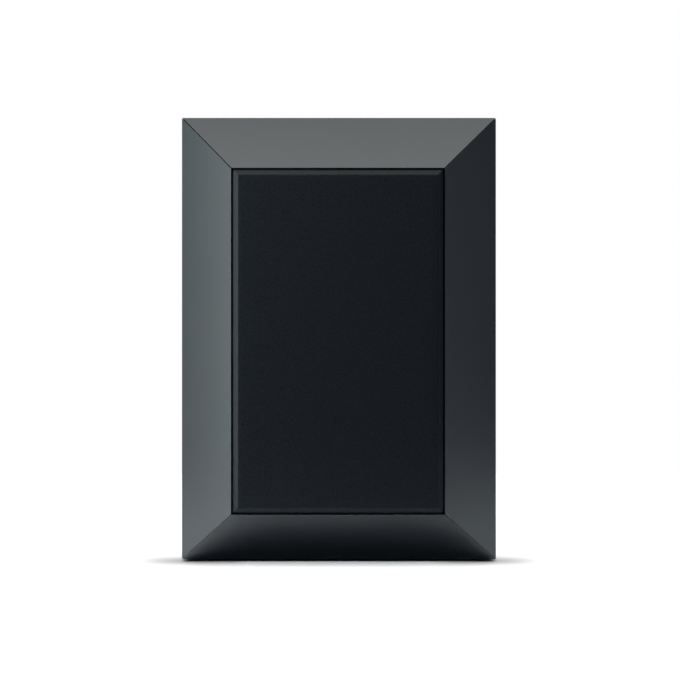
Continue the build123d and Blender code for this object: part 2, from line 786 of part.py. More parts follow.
def tweeter_faceplate():
    """Round plate with a flared horn down to the dome and a boss over the motor behind."""
    boss = motor_radius
    middle = ((horn_radius + throat_radius) / 2, HORN_MIDDLE_DEPTH)
    plate = turned(
        Line((tweeter_radius, 0), (horn_radius, 0)),
        ThreePointArc((horn_radius, 0), middle, (throat_radius, HORN_DEPTH)),
        Line((throat_radius, HORN_DEPTH), (throat_radius, lip_t)),
        Line((throat_radius, lip_t), (lip_radius + FIT, lip_t)),
        Line((lip_radius + FIT, lip_t), (lip_radius + FIT, tweeter_plate_t)),
        Line((lip_radius + FIT, tweeter_plate_t), (boss, tweeter_plate_t)),
        Line((boss, tweeter_plate_t), (boss, TWEETER_PLATE)),
        Line((boss, TWEETER_PLATE), (tweeter_radius, TWEETER_PLATE)),
        Line((tweeter_radius, TWEETER_PLATE), (tweeter_radius, 0)),
    )
    hole = ring(0, SCREW_DIAMETER / 2 + FIT, 0, TWEETER_PLATE)
    sink = ring(0, SCREW_HEAD_DIAMETER / 2 + FIT, 0, SCREW_HEAD_HEIGHT)
    plate -= tweeter_screw_circle(hole)
    plate -= tweeter_screw_circle(sink)
    return plate


def tweeter_dome():
    return dome_shell(dome_radius, DOME_RISE, DOME_SKIN, HORN_DEPTH)


def tweeter_suspension():
    """Small half roll between the dome and the lip that is clamped behind the faceplate."""
    start = dome_radius + TOUCH
    end = dome_radius + DOME_ROLL
    middle = (start + end) / 2
    half = (end - start) / 2
    front, back = lip_t + TOUCH, lip_t + TOUCH + LIP_SKIN
    inner = half - LIP_SKIN
    return turned(
        ThreePointArc((start, front), (middle, front - half), (end, front)),
        Line((end, front), (lip_radius, front)),
        Line((lip_radius, front), (lip_radius, back)),
        Line((lip_radius, back), (middle + inner, back)),
        Line((middle + inner, back), (middle + inner, front)),
        ThreePointArc((middle + inner, front), (middle, front - inner), (middle - inner, front)),
        Line((middle - inner, front), (start, front)),
    )


def dome_coil_radii():
    """Inner and outer radius of the tweeter's coil, just inside the dome's rim."""
    outer = dome_radius
    return outer - DOME_COIL_WALL, outer


def tweeter_voice_coil():
    return ring(*dome_coil_radii(), HORN_DEPTH + TOUCH, HORN_DEPTH + TOUCH + DOME_COIL_HEIGHT)


def tweeter_front_plate():
    return ring(dome_coil_radii()[1] + DOME_GAP, tweeter_plate_radius, tweeter_plate_t, tweeter_magnet_t)


def tweeter_magnet():
    return ring(motor_radius - TWEETER_MAGNET_WIDTH, motor_radius, tweeter_magnet_t, tweeter_yoke_t)


def tweeter_yoke():
    """Back plate and vented pole of the tweeter's motor."""
    vent = TWEETER_VENT / 2
    pole = dome_coil_radii()[0] - DOME_GAP
    return lathe(
        (vent, tweeter_plate_t),
        (pole, tweeter_plate_t),
        (pole, tweeter_yoke_t),
        (tweeter_plate_radius, tweeter_yoke_t),
        (tweeter_plate_radius, chamber_t),
        (vent, chamber_t),
    )


def tweeter_rear_chamber():
    """Moulded cup behind the vented pole, open towards it."""
    edge = CHAMBER_DIAMETER / 2
    far = chamber_t + CHAMBER_DEPTH
    return lathe(
        (edge, chamber_t),
        (edge, far - CHAMBER_WALL),
        (edge - CHAMBER_WALL, far),
        (0, far),
        (0, far - CHAMBER_WALL),
        (edge - CHAMBER_WALL, far - CHAMBER_WALL),
        (edge - CHAMBER_WALL, chamber_t),
    )


def driver_gaskets():
    """Foam rings under both drivers' flanges."""
    woofer = ring(basket_outer + FIT, flange_radius, FLANGE_THICKNESS, woofer_recess)
    tweeter = ring(motor_radius + 2 * FIT, tweeter_radius, TWEETER_PLATE, tweeter_recess)
    hole = ring(0, SCREW_DIAMETER / 2 + FIT, 0, woofer_recess)
    woofer -= woofer_screw_circle(hole)
    tweeter -= tweeter_screw_circle(hole)
    return [on_woofer(woofer), on_tweeter(tweeter)]


def port_boss():
    """Outer radius of the port where it passes the rear panel, clear of the flare inside."""
    below = PORT_FLARE - PORT_FLANGE
    flare = PORT_FLARE - math.sqrt(max(PORT_FLARE**2 - below**2, 0)) if below > 0 else 0
    return PORT_BORE / 2 + flare + PORT_BOSS_WALL


def port_rim():
    """Radius of the port's flange."""
    return PORT_BORE / 2 + PORT_FLARE + PORT_LIP


def port_tube():
    """Reflex port: flush flange, flared mouth and plain tube."""
    bore = PORT_BORE / 2
    mouth = bore + PORT_FLARE
    bend = PORT_FLARE * (1 - math.sqrt(0.5))
    tube_outer = bore + PORT_WALL
    outline = turned(
        Line((mouth, 0), (port_rim(), 0)),
        Line((port_rim(), 0), (port_rim(), -PORT_FLANGE)),
        Line((port_rim(), -PORT_FLANGE), (port_boss(), -PORT_FLANGE)),
        Line((port_boss(), -PORT_FLANGE), (port_boss(), -REAR_THICKNESS)),
        Line((port_boss(), -REAR_THICKNESS), (tube_outer, -REAR_THICKNESS - PORT_WALL)),
        Line((tube_outer, -REAR_THICKNESS - PORT_WALL), (tube_outer, -PORT_LENGTH)),
        Line((tube_outer, -PORT_LENGTH), (bore, -PORT_LENGTH)),
        Line((bore, -PORT_LENGTH), (bore, -PORT_FLARE)),
        ThreePointArc((bore, -PORT_FLARE), (bore + bend, -bend), (mouth, 0)),
    )
    return Pos(0, rear_y, port_z) * outline


def terminal_cup():
    """Moulded dish let into the rear panel, with a hole in its floor for each post."""
    floor_inner = cup_floor_y - CUP_FLOOR
    outer = rounded(well_width + 2 * CUP_WALL, well_height + 2 * CUP_WALL, CUP_CORNER - FIT)
    well = rounded(well_width, well_height, CUP_CORNER - CUP_WALL)
    dish = slab(rounded(CUP_WIDTH, CUP_HEIGHT, CUP_CORNER - FIT), rear_y - CUP_FLANGE, rear_y)
    dish += slab(outer, floor_inner, rear_y)
    dish -= slab(well, cup_floor_y, rear_y)
    for x in post_places().values():
        dish -= Pos(x, 0, 0) * ring(0, POST_SHANK_DIAMETER / 2 + FIT, floor_inner, cup_floor_y)
    dish = Pos(0, 0, cup_z) * dish
    for x, z in cup_screw_places():
        dish -= Pos(x, 0, z) * ring(0, SCREW_DIAMETER / 2 + FIT, rear_y - CUP_FLANGE, rear_y)
        dish -= Pos(x, 0, z) * ring(0, SCREW_HEAD_DIAMETER / 2 + FIT, rear_y - SCREW_HEAD_HEIGHT, rear_y)
    return dish


def panel_screws():
    """Screws of both drivers and of the terminal cup."""
    screw = machine_screw(SCREW_LENGTH)
    screws = [on_woofer(s) for s in woofer_screw_circle(screw)]
    screws += [on_tweeter(s) for s in tweeter_screw_circle(screw)]
    return screws + [Pos(x, rear_y, z) * Rot(180, 0, 0) * screw for x, z in cup_screw_places()]


def on_post(colour, shape):
    """Moves a piece made at the Y axis, with the cup's floor at depth 0, to its binding post."""
    return Pos(post_places()[colour], cup_floor_y, cup_z) * shape


def terminal_post():
    """Brass post: shank through the cup's floor, collar, and a stud bored for a banana plug."""
    stud = POST_DIAMETER / 2
    top = POST_COLLAR_HEIGHT + post_length
    bore = BANANA_BORE / 2
    return lathe(
        (0, -POST_SHANK_LENGTH),
        (POST_SHANK_DIAMETER / 2, -POST_SHANK_LENGTH),
        (POST_SHANK_DIAMETER / 2, 0),
        (POST_COLLAR_DIAMETER / 2, 0),
        (POST_COLLAR_DIAMETER / 2, POST_COLLAR_HEIGHT),
        (stud, POST_COLLAR_HEIGHT),
        (stud, top - POST_EASE),
        (stud - POST_EASE, top),
        (bore, top),
        (bore, top - BANANA_DEPTH),
        (0, top - BANANA_DEPTH),
    )


def clamp_washer():
    """Loose washer that the knob pushes onto the wire, riding along the post without turning."""
    near = POST_COLLAR_HEIGHT
    return ring(POST_DIAMETER / 2 + RUNNING, CLAMP_WASHER_DIAMETER / 2, near, near + CLAMP_WASHER_THICKNESS)


def terminal_knob():
    """Six-sided knob screwed onto the post, capped with a hole that lets the plug in."""
    near = POST_COLLAR_HEIGHT + CLAMP_WASHER_THICKNESS
    far = near + KNOB_LENGTH
    hexagon = RegularPolygon(KNOB_WIDTH / 2, 6, major_radius=False)
    body = slab(fillet(hexagon.vertices(), KNOB_CORNER), near, far)
    ends = body.faces().sort_by(Axis.Y)
    body = chamfer(ends[0].edges() + ends[-1].edges(), KNOB_EASE)
    body -= ring(0, POST_DIAMETER / 2 + RUNNING, near, far - KNOB_CAP)
    return body - ring(0, BANANA_BORE / 2 + PLUG_CLEARANCE, near, far)


def terminal_nuts():
    """Hexagon nuts that hold the posts from inside."""
    near = -CUP_FLOOR - TAG_THICKNESS
    nut = slab(RegularPolygon(NUT_WIDTH / 2, 6, major_radius=False), near - NUT_HEIGHT, near)
    nut -= ring(0, POST_SHANK_DIAMETER / 2 + TOUCH, near - NUT_HEIGHT, near)
    return [on_post(colour, nut) for colour in post_places()]


def solder_blade(x, start):
    """Pair of blades that point to the rear from a depth, either side of a driver's axis."""
    blade = block(span(x, TAG_THICKNESS), (start, start + TAG_LENGTH), span(0, TAG_WIDTH))
    return [Pos(0, 0, z) * blade for z in span(0, TAG_SPACING)]


def solder_tags():
    """Blades on both drivers, and ring tags under the posts' nuts with a blade that hangs down."""
    tags = [on_woofer(blade) for blade in solder_blade(woofer_tag_x, woofer_tag_t)]
    tags += [on_tweeter(blade) for blade in solder_blade(tweeter_tag_x, chamber_t)]
    far = -CUP_FLOOR
    tag = ring(0, SOLDER_TAG_DIAMETER / 2, far - TAG_THICKNESS, far)
    tag += block(span(0, TAG_WIDTH), (far - TAG_THICKNESS, far), (-SOLDER_TAG_LENGTH, 0))
    tag -= ring(0, POST_SHANK_DIAMETER / 2 + TOUCH, far - TAG_THICKNESS, far)
    return tags + [on_post(colour, tag) for colour in post_places()]


def board_corners():
    x = BOARD_WIDTH / 2 - STANDOFF_INSET
    y = BOARD_DEPTH / 2 - STANDOFF_INSET
    return [(sx * x, board_y + sy * y) for sx in (-1, 1) for sy in (-1, 1)]


def upright(inner, outer, low, high):
    """A plain ring or disc about Z."""
    body = Pos(0, 0, (low + high) / 2) * Cylinder(outer, high - low)
    return body - Pos(0, 0, (low + high) / 2) * Cylinder(inner, high - low) if inner else body


def crossover_board():
    board = block(span(0, BOARD_WIDTH), span(board_y, BOARD_DEPTH), (board_bottom, board_top))
    hole = upright(0, BOARD_SCREW_DIAMETER / 2 + FIT, board_bottom, board_top)
    return board - [Pos(x, y, 0) * hole for x, y in board_corners()]


def crossover_standoffs():
    spacer = upright(BOARD_SCREW_DIAMETER / 2 + FIT, STANDOFF_DIAMETER / 2, floor_z, board_bottom)
    return [Pos(x, y, 0) * spacer for x, y in board_corners()]


def crossover_screws():
    head = upright(0, BOARD_SCREW_HEAD / 2, board_top, board_top + BOARD_SCREW_HEAD_HEIGHT)
    shank = upright(0, BOARD_SCREW_DIAMETER / 2, board_top - BOARD_SCREW_LENGTH, board_top)
    return [Pos(x, y, 0) * (head + shank) for x, y in board_corners()]


def bottom_panel(panel):
    """The bottom panel with pilot holes for the crossover's screws."""
    pilot = upright(0, BOARD_SCREW_DIAMETER / 2 + TOUCH, board_top - BOARD_SCREW_LENGTH, floor_z)
    return panel - [Pos(x, y, 0) * pilot for x, y in board_corners()]


def inductor_places():
    x = (BOBBIN_DIAMETER + COMPONENT_GAP) / 2
    return [(-x, board_y), (x, board_y)]


def inductor_bobbins():
    hole, core, edge = BOBBIN_HOLE / 2, BOBBIN_CORE / 2, BOBBIN_DIAMETER / 2
    top = board_top + BOBBIN_HEIGHT
    bobbin = upright(hole, core, board_top, top)
    bobbin += upright(hole, edge, board_top, board_top + BOBBIN_FLANGE)
    bobbin += upright(hole, edge, top - BOBBIN_FLANGE, top)
    return [Pos(x, y, 0) * bobbin for x, y in inductor_places()]


def inductor_windings():
    low, high = board_top + BOBBIN_FLANGE, board_top + BOBBIN_HEIGHT - BOBBIN_FLANGE
    winding = upright(BOBBIN_CORE / 2 + TOUCH, BOBBIN_DIAMETER / 2 - WINDING_INSET, low, high)
    return [Pos(x, y, 0) * winding for x, y in inductor_places()]


def crossover_capacitors():
    """Film capacitors lying along X in front of the inductors."""
    radius = CAPACITOR_DIAMETER / 2
    y = board_y - BOBBIN_DIAMETER / 2 - radius - COMPONENT_GAP
    can = Rot(0, 90, 0) * Cylinder(radius, CAPACITOR_LENGTH)
    step = CAPACITOR_LENGTH + COMPONENT_GAP
    return [Pos(x, y, board_top + radius) * can for x in (-step, 0, step)]


def crossover_resistors():
    """Cement resistors in a row along Y, beside the left inductor."""
    x = inductor_places()[0][0] - (BOBBIN_DIAMETER + RESISTOR_SIDE) / 2 - COMPONENT_GAP
    brick = block(span(x, RESISTOR_SIDE), span(0, RESISTOR_LENGTH), (board_top, board_top + RESISTOR_SIDE))
    start = board_y - (BOBBIN_DIAMETER - RESISTOR_LENGTH) / 2
    return [Pos(0, y, 0) * brick for y in (start, start + RESISTOR_LENGTH + COMPONENT_GAP)]


def internal_leads():
    """Wires from the posts to the crossover, and from there to the two drivers' blades."""
    leads = []
    foot_z = board_top + TOUCH
    beside_inductor = board_y - 2 * LEAD_DIAMETER
    behind_inductor = board_y + BOBBIN_DIAMETER / 2 + 2 * LEAD_DIAMETER
    runs = (
        (woofer_tag_x, woofer_z, woofer_tag_t, beside_inductor),
        (tweeter_tag_x, tweeter_z, chamber_t, behind_inductor),
    )
    for x, driver_z, tag_t, rise_y in runs:
        end_y = baffle_y + tag_t + TAG_LENGTH + TOUCH
        for z in span(driver_z, TAG_SPACING):
            points = [(x, rise_y, foot_z), (x, rise_y, z), (x, end_y, z)]
            leads.append(tube(points, LEAD_DIAMETER, [LEAD_BEND]))
            rise_y += 2 * LEAD_DIAMETER
    tag_y = cup_floor_y - CUP_FLOOR - TAG_THICKNESS - LEAD_DIAMETER / 2 - TOUCH
    tag_z = cup_z - SOLDER_TAG_LENGTH + LEAD_DIAMETER
    run = (tag_z - foot_z) / 3
    for x in post_places().values():
        points = [
            (x, tag_y, tag_z),
            (x, tag_y, tag_z - run),
            (x, behind_inductor, foot_z + run),
            (x, behind_inductor, foot_z),
        ]
        leads.append(tube(points, LEAD_DIAMETER, [LEAD_BEND] * 2))
    return leads


def build():
    """Every node of the loudspeaker by name."""
    nodes = {}
    for side, rail in four_sides(front_rail).items():
        nodes[f"front_rail_{side}"] = rail
    for side, panel in four_sides(carcass_panel).items():
        nodes[f"{side}_panel"] = bottom_panel(panel) if side == "bottom" else panel
    nodes.update(damping_pads())
    nodes["rear_panel"] = rear_panel()
    nodes["rear_inserts"] = rear_inserts()
    nodes["cross_brace"] = cross_brace()
    nodes["rubber_feet"] = rubber_feet()
    nodes["baffle_board"] = baffle_board()
    nodes["baffle_magnets"] = baffle_magnets()
    nodes["grille_frame"] = grille_frame()
    nodes["grille_cloth"] = grille_cloth()
    nodes["grille_magnets"] = grille_magnets()
    nodes["driver_gaskets"] = driver_gaskets()
    woofer_pieces = (
        woofer_basket, woofer_surround, woofer_cone, woofer_dust_cap, woofer_spider, voice_coil_former,
        voice_coil_winding, woofer_front_plate, woofer_magnet, woofer_yoke, woofer_strip, tinsel_leads,
    )
    tweeter_pieces = (
        tweeter_faceplate, tweeter_dome, tweeter_suspension, tweeter_voice_coil, tweeter_front_plate,
        tweeter_magnet, tweeter_yoke, tweeter_rear_chamber,
    )
    for place, pieces in ((on_woofer, woofer_pieces), (on_tweeter, tweeter_pieces)):
        for make in pieces:
            made = make()
            nodes[make.__name__] = [place(s) for s in made] if isinstance(made, list) else place(made)
    nodes["port_tube"] = port_tube()
    nodes["terminal_cup"] = terminal_cup()
    nodes["panel_screws"] = panel_screws()
    nodes["terminal_nuts"] = terminal_nuts()
    nodes["solder_tags"] = solder_tags()
    for colour in post_places():
        nodes[f"{colour}_post"] = on_post(colour, terminal_post())
        nodes[f"{colour}_washer"] = on_post(colour, clamp_washer())
        nodes[f"{colour}_knob"] = on_post(colour, terminal_knob())
    for make in (
        crossover_board, crossover_standoffs, crossover_screws, inductor_bobbins, inductor_windings,
        crossover_capacitors, crossover_resistors, internal_leads,
    ):
        nodes[make.__name__] = make()
    return nodes


os.makedirs("parts", exist_ok=True)
for name, made in build().items():
    solids = made if isinstance(made, list) else [made]
    shape = Compound(children=[s.solid() if len(s.solids()) == 1 else s for s in solids])
    export_step(shape, f"parts/{name}.step")
print(f"overall {cabinet_width:.1f} x {total_depth:.1f} x {cabinet_top:.1f} mm")
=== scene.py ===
import math

import bmesh
import bpy
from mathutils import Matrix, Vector


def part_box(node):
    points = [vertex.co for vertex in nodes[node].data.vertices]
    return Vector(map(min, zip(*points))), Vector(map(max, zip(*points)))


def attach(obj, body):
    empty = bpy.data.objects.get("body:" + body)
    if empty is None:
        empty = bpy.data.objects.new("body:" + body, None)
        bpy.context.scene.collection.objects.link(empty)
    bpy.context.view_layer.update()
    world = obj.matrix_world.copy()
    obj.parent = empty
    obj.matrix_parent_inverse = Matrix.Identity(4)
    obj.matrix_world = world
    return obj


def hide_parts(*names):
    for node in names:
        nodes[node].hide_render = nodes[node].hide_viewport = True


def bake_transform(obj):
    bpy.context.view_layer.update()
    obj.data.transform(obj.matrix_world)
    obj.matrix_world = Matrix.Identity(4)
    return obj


# A black bookshelf loudspeaker seen straight from the front: bevelled lacquer frame and cloth grille.
# Everything is in metres, X to the right, Y to the rear and Z up.

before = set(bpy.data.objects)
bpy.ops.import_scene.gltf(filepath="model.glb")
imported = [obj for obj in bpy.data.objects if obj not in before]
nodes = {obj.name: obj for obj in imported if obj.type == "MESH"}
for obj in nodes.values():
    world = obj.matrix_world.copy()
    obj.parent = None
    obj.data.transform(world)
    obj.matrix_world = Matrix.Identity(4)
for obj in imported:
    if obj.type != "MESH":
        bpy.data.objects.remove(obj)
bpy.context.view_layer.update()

SIDES = ("top", "right", "bottom", "left")

# Painted shade in the open joints of the front frame's upper mitres: half its width, and where it has
# faded out
JOINT_SHADE_REACH = 0.0002
JOINT_SHADE_FADE = 0.0004

# Pitch of woven yarn and wound wire
GRILLE_YARN = 0.0011
SILK_YARN = 0.0006
SPIDER_YARN = 0.0011
LAMINATE_YARN = 0.0012
COIL_WIRE = 0.0005
INDUCTOR_WIRE = 0.0009

# Eased edges of boards and mouldings. Faces that meet at under the flat angle are joined first.
EDGE_EASE = 0.0004
EDGE_STEPS = 2
SHARP_EDGE = math.radians(30)
FLAT_EDGE = math.radians(0.4)
WELD = 0.000005

# Grille cloth, with the radii of its folds and corners
COVER_SKIN = 0.0005
COVER_LOFT = 0.0003
COVER_CHAMFER = 0.004
COVER_RETURN = 0.006
COVER_FLAT = 0.010
COVER_BACK_FOLD = 0.0008
COVER_SIDE_FOLD = 0.0008
COVER_FRONT_FOLD = 0.0018
COVER_CORNER = 0.0015
COVER_FRONT_CORNER = 0.0009

# Half rolls, by their radii. A roll's mesh takes a share of its skin and so stays clear of its seat.
ROLL_SKIN_SHARE = 0.96
SURROUND_SKIN = 0.0008
SURROUND_LIP = 0.0335
SURROUND_ROLL = (0.0373, 0.0477)
DOME_SKIN = 0.0004
DOME_LIP = 0.01252
DOME_ROLL = (0.01262, 0.0163)

# Spider, by its radii
SPIDER_SKIN = 0.0005
SPIDER_NECK = 0.01275
SPIDER_WAVES = (0.01525, 0.0290)
SPIDER_WAVE_COUNT = 4
SPIDER_WAVE_HEIGHT = 0.0007

# Tinsel braid. The route is the share of its way to the cone and how many times the slack it lies back.
BRAID_RADIUS = 0.0006
BRAID_SLACK = 0.0008
BRAID_ROUTE = ((0.0, 1), (0.3, 0), (0.5, 1), (0.8, 0), (1.0, -1))

# Egg-crate foam
FOAM_PITCH = 0.02
FOAM_WAVE = 0.0025
FOAM_CLEARANCE = 0.0001

# Papers on the ground, with soft painted shadows beside the two front toes
PAPER_REACH = 0.35
BOUNCE_DROP = 0.0004
TOE_SHADOW_INSET = (0.004, 0.002)
TOE_SHADOW_BLUR = (0.044, 0.024)

# Camera: lens and sensor in millimetres, and the shift as a share of the picture's width
CAMERA_PLACE = (0.0146, -0.9795, 0.2050)
CAMERA_LENS = 68.4
CAMERA_SENSOR = 36.0
CAMERA_SHIFT = (-0.0285, -0.0958)


# Shader values


class Value:
    """A socket in a node tree. Arithmetic on it adds Math nodes."""

    def __init__(self, graph, socket):
        self.graph = graph
        self.socket = socket

    def calculate(self, operation, *others):
        values = dict(enumerate((self, *others)))
        return self.graph.node("ShaderNodeMath", {"operation": operation}, values)

    def __add__(self, other):
        return self.calculate("ADD", other)

    def __sub__(self, other):
        return self.calculate("SUBTRACT", other)

    def __rsub__(self, other):
        return self.graph.node("ShaderNodeMath", {"operation": "SUBTRACT"}, {0: other, 1: self})

    def __mul__(self, other):
        return self.calculate("MULTIPLY", other)

    __radd__ = __add__
    __rmul__ = __mul__

    def size(self):
        return self.calculate("ABSOLUTE")

    def root(self):
        return self.calculate("SQRT")

    def wave(self, pitch):
        """A sine of the value, one whole wave to a pitch."""
        return (self * (2 * math.pi / pitch)).calculate("SINE")


class Graph:
    """A node tree, with the one method that adds a node to it."""

    def __init__(self, tree):
        self.tree = tree

    def fill(self, socket, value):
        """Links a socket to a value, or sets it to a number, vector or colour."""
        if isinstance(value, Value):
            self.tree.links.new(value.socket, socket)
        elif socket.type == "RGBA" and len(value) == 3:
            socket.default_value = (*value, 1)
        else:
            socket.default_value = value

    def node(self, kind, settings=None, inputs=None, output=0):
        """Any node by its type, with its settings made first and then its sockets."""
        made = self.tree.nodes.new(kind)
        for name, value in (settings or {}).items():
            setattr(made, name, value)
        for name, value in (inputs or {}).items():
            self.fill(made.inputs[name], value)
        return Value(self, made.outputs[output])


class Finish(Graph):
    """A material: one Principled shader, with the textures that feed it."""

    def __init__(self, name, **sockets):
        self.material = bpy.data.materials.new(name)
        self.material.use_nodes = True
        super().__init__(self.material.node_tree)
        self.shader = self.tree.nodes["Principled BSDF"]
        self.feed(**sockets)

    def feed(self, **sockets):
        """Sets the shader's sockets, named with _ for a space, to values or links."""
        for name, value in sockets.items():
            self.fill(self.shader.inputs[name.replace("_", " ")], value)

    def place(self):
        """Position on the piece, in metres."""
        return self.node("ShaderNodeTexCoord", output="Object")

    def axes(self):
        """The three coordinates of the position."""
        split = self.node("ShaderNodeSeparateXYZ", inputs={"Vector": self.place()})
        outputs = split.socket.node.outputs
        return [Value(self, outputs[axis]) for axis in "XYZ"]

    def stretched(self, factors):
        """Position with each axis multiplied, for grain that runs one way."""
        return self.node("ShaderNodeMapping", inputs={"Vector": self.place(), "Scale": factors})

    def noise(self, size, detail=3.0, roughness=0.5, where=None):
        """Noise from 0 to 1 whose blotches are about size metres across."""
        where = where or self.place()
        sockets = {"Vector": where, "Scale": 1 / size, "Detail": detail, "Roughness": roughness}
        return self.node("ShaderNodeTexNoise", inputs=sockets)

    def cells(self, size):
        """Distance to the nearest of many scattered points, size metres apart."""
        return self.node("ShaderNodeTexVoronoi", inputs={"Vector": self.place(), "Scale": 1 / size})

    def ramp(self, value, low, high):
        """A value taken from 0 to 1 as it goes from low to high, with soft ends."""
        sockets = {"Value": value, "From Min": low, "From Max": high}
        return self.node("ShaderNodeMapRange", {"interpolation_type": "SMOOTHSTEP"}, sockets)

    def tint(self, share, low, high):
        """A colour from low to high by a share: sockets 6 and 7, and output 2, of a Mix node."""
        sockets = {"Factor": share, 6: low, 7: high}
        return self.node("ShaderNodeMix", {"data_type": "RGBA"}, sockets, output=2)

    def bump(self, height, depth):
        """Relief of a height from 0 to 1, depth metres deep."""
        return self.node("ShaderNodeBump", inputs={"Strength": 1.0, "Distance": depth, "Height": height})


# Finishes


def dimmed(colour, share):
    """A colour with each of its parts multiplied by a share."""
    return tuple(share * part for part in colour)


def crossing(one, other, pitch):
    """Yarn over and under yarn along two coordinates, from 0 to 1."""
    return one.wave(pitch) * other.wave(pitch) * 0.5 + 0.5


def painted_joint_shade(finish):
    """Mask of painted shade: 1 inside the open mitre joints at the front frame's two upper corners, and 0
    away from them.
    """
    x, _, z = finish.axes()
    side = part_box("front_rail_right")[1].x
    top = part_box("front_rail_top")[1].z
    off = (x.size() - side - z + top).size() * math.sqrt(0.5)
    return finish.ramp(off, JOINT_SHADE_FADE, JOINT_SHADE_REACH)


def satin_lacquer(name, paint_joint_shade=False):
    """Sprayed black lacquer: a faint orange peel, and a sheen that varies a little.

    On the rails, painted shade fills the two open upper mitre joints: they are tinted black and made
    metallic, so they don't shine.
    """
    finish = Finish(name, IOR=1.5)
    cloud = finish.noise(0.09, detail=2.0)
    peel = finish.noise(0.0024, detail=2.0)
    colour = finish.tint(cloud, (0.0020, 0.0026, 0.0042), (0.0028, 0.0035, 0.0052))
    if paint_joint_shade:
        # Painted shade: the lacquer turns black and metallic inside the open upper mitre joints
        joint_shade = painted_joint_shade(finish)
        colour = finish.tint(joint_shade, colour, (0, 0, 0))
        finish.feed(Metallic=joint_shade)
    finish.feed(
        Base_Color=colour,
        Roughness=0.35 + 0.03 * cloud + 0.03 * peel,
        Normal=finish.bump(peel, depth=0.000012),
    )
    return finish.material


def baffle_paint():
    """Matt black paint over board, with a fine sprayed grain."""
    finish = Finish("baffle_paint", IOR=1.45, Specular_IOR_Level=0.3)
    grain = finish.noise(0.0007)
    finish.feed(
        Base_Color=finish.tint(grain, (0.012, 0.012, 0.013), (0.020, 0.020, 0.021)),
        Roughness=0.62 + 0.12 * grain,
        Normal=finish.bump(grain, depth=0.00005),
    )
    return finish.material


def bare_board():
    """Unpainted fibreboard."""
    finish = Finish("bare_board", IOR=1.4)
    fibre = finish.noise(0.0018, detail=5.0, roughness=0.65)
    finish.feed(
        Base_Color=finish.tint(fibre, (0.32, 0.22, 0.13), (0.50, 0.37, 0.24)),
        Roughness=0.8 + 0.1 * fibre,
        Normal=finish.bump(fibre, depth=0.00006),
    )
    return finish.material


def grille_weave():
    """Black acoustic cloth: plain weave of fine yarn, a little uneven, with a soft sheen."""
    finish = Finish("grille_weave", IOR=1.4, Specular_IOR_Level=0.16)
    x, y, z = finish.axes()
    wander = 0.0004 * finish.noise(0.004, detail=2.0)
    yarn = crossing(x + y + wander, z + y + wander, GRILLE_YARN)
    thread = finish.ramp(finish.noise(0.0012, detail=1.0), 0.3, 0.7)
    tone = yarn * 0.5 + thread * 0.5
    finish.feed(
        Base_Color=finish.tint(tone, (0.0017, 0.0023, 0.0032), (0.0104, 0.0122, 0.0155)),
        Roughness=0.50 - 0.08 * yarn + 0.06 * thread,
        Normal=finish.bump(yarn + 0.5 * thread, depth=0.00007),
    )
    return finish.material


def moulded_plastic(name, colour, roughness):
    """Moulded plastic with a spark-eroded grain."""
    finish = Finish(name, IOR=1.46)
    grain = finish.noise(0.0006, detail=2.0)
    worn = finish.noise(0.03, detail=2.0)
    finish.feed(
        Base_Color=finish.tint(worn, dimmed(colour, 0.78), colour),
        Roughness=roughness + 0.10 * grain,
        Normal=finish.bump(grain, depth=0.00003),
    )
    return finish.material


def rubber(name, colour, roughness):
    """Moulded rubber with a faint bloom."""
    finish = Finish(name, IOR=1.48, Specular_IOR_Level=0.4)
    bloom = finish.noise(0.012, detail=4.0)
    pores = finish.noise(0.0005, detail=2.0)
    paler = tuple(1.5 * part + 0.003 for part in colour)
    finish.feed(
        Base_Color=finish.tint(bloom, colour, paler),
        Roughness=roughness + 0.12 * bloom,
        Normal=finish.bump(pores, depth=0.00002),
    )
    return finish.material


def cast_coating():
    """Black powder coat over cast metal."""
    finish = Finish("cast_coating", IOR=1.5, Specular_IOR_Level=0.35)
    peel = finish.noise(0.0009, detail=2.0)
    finish.feed(
        Base_Color=finish.tint(peel, (0.014, 0.014, 0.015), (0.026, 0.026, 0.028)),
        Roughness=0.42 + 0.12 * peel,
        Normal=finish.bump(peel, depth=0.00006),
    )
    return finish.material


def pressed_pulp(name, low, high, roughness):
    """Pressed paper or cement: short fibres and flecks lying every way, with a slight sheen."""
    finish = Finish(name, IOR=1.4)
    fibre = finish.noise(0.0028, detail=6.0, roughness=0.7)
    fleck = finish.cells(0.0016)
    mixed = fibre * 0.7 + fleck * 0.3
    finish.feed(
        Base_Color=finish.tint(mixed, low, high),
        Roughness=roughness + 0.15 * fibre,
        Normal=finish.bump(mixed, depth=0.00010),
    )
    return finish.material


def plain_weave(name, low, high, pitch, roughness):
    """Woven cloth seen close, its yarn crossing at a pitch."""
    finish = Finish(name, IOR=1.4, Sheen_Weight=0.15)
    x, _, z = finish.axes()
    yarn = crossing(x, z, pitch)
    stain = finish.noise(0.01)
    finish.feed(
        Base_Color=finish.tint(yarn * 0.6 + stain * 0.4, low, high),
        Roughness=roughness - 0.08 * yarn,
        Normal=finish.bump(yarn, depth=0.00008),
    )
    return finish.material


def metal(name, low, high, roughness, grain=(1, 1, 1)):
    """Bare metal: tone and polish drawn out along the grain."""
    finish = Finish(name, Metallic=1.0)
    brushed = finish.noise(0.004, detail=4.0, roughness=0.6, where=finish.stretched(grain))
    finish.feed(
        Base_Color=finish.tint(brushed, low, high),
        Roughness=roughness + 0.14 * brushed,
        Normal=finish.bump(brushed, depth=0.000012),
    )
    return finish.material


